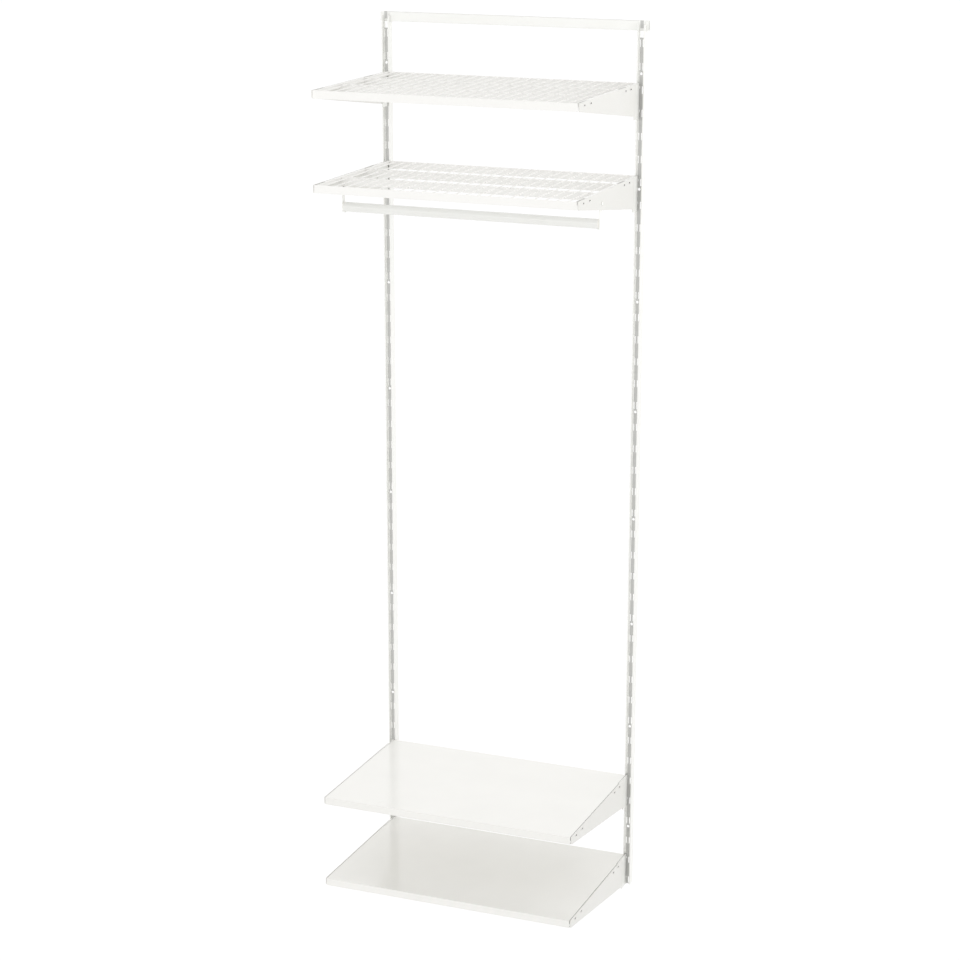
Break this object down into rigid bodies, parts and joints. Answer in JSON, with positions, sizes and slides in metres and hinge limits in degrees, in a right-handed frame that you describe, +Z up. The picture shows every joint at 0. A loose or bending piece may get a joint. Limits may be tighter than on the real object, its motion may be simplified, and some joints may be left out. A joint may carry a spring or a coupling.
{
  "type": "shelving unit with hanging rail",
  "caption": "Wall-hung shelving unit: slotted uprights on a suspension rail carry brackets with wire shelves, a clothes rail below them, and sheet-metal shelves near the floor.",
  "frame": {"origin": "middle of the suspension rail's back face, on the wall, midway between its two screw holes", "axes": "+Z up, +Y into the wall, -Y into the room, +X to the right along the wall as seen from the room"},
  "size_m": [0.628, 0.402, 2.0115],
  "materials": {
    "frame_powder_coat": "white powder coat, satin",
    "wire_powder_coat": "white powder coat on wire, satin",
    "shelf_powder_coat": "white powder coat on sheet, satin",
    "tube_powder_coat": "white powder coat on tube, semi-gloss",
    "cap_plastic": "white plastic"
  },
  "bodies": {
    "wall_frame": {"suspension_rail": "frame_powder_coat", "upright_left": "frame_powder_coat", "upright_right": "frame_powder_coat", "bracket_1_left_plate": "frame_powder_coat", "bracket_1_left_hook_plate": "frame_powder_coat", "bracket_1_right_plate": "frame_powder_coat", "bracket_1_right_hook_plate": "frame_powder_coat", "bracket_2_left_plate": "frame_powder_coat", "bracket_2_left_hook_plate": "frame_powder_coat", "bracket_2_right_plate": "frame_powder_coat", "bracket_2_right_hook_plate": "frame_powder_coat", "bracket_3_left_plate": "frame_powder_coat", "bracket_3_left_hook_plate": "frame_powder_coat", "bracket_3_right_plate": "frame_powder_coat", "bracket_3_right_hook_plate": "frame_powder_coat", "bracket_4_left_plate": "frame_powder_coat", "bracket_4_left_hook_plate": "frame_powder_coat", "bracket_4_right_plate": "frame_powder_coat", "bracket_4_right_hook_plate": "frame_powder_coat", "rail_holder_left": "frame_powder_coat", "rail_holder_right": "frame_powder_coat"},
    "shelf_1": {"shelf_1_deck_wires": "wire_powder_coat", "shelf_1_cross_bars": "wire_powder_coat", "shelf_1_rear_bar": "wire_powder_coat", "shelf_1_front_lip": "shelf_powder_coat", "shelf_1_side_strip_left": "wire_powder_coat", "shelf_1_side_strip_right": "wire_powder_coat"},
    "shelf_2": {"shelf_2_deck_wires": "wire_powder_coat", "shelf_2_cross_bars": "wire_powder_coat", "shelf_2_rear_bar": "wire_powder_coat", "shelf_2_front_lip": "shelf_powder_coat", "shelf_2_side_strip_left": "wire_powder_coat", "shelf_2_side_strip_right": "wire_powder_coat"},
    "shelf_3": {"shelf_3_tray": "shelf_powder_coat"},
    "shelf_4": {"shelf_4_tray": "shelf_powder_coat"},
    "clothes_rail": {"clothes_rail_tube": "tube_powder_coat", "clothes_rail_cap_left": "cap_plastic", "clothes_rail_cap_right": "cap_plastic"}
  },
  "joints": [
    {"name": "shelf_1_lift", "type": "slide", "parent": "wall_frame", "child": "shelf_1", "axis": [0, 0, 1], "range_m": [0, 0.04]},
    {"name": "shelf_2_lift", "type": "slide", "parent": "wall_frame", "child": "shelf_2", "axis": [0, 0, 1], "range_m": [0, 0.04]},
    {"name": "shelf_3_lift", "type": "slide", "parent": "wall_frame", "child": "shelf_3", "axis": [0, 0, 1], "range_m": [0, 0.04]},
    {"name": "shelf_4_lift", "type": "slide", "parent": "wall_frame", "child": "shelf_4", "axis": [0, 0, 1], "range_m": [0, 0.04]},
    {"name": "clothes_rail_lift", "type": "slide", "parent": "wall_frame", "child": "clothes_rail", "axis": [0, 0, 1], "range_m": [0, 0.03]}
  ]
}
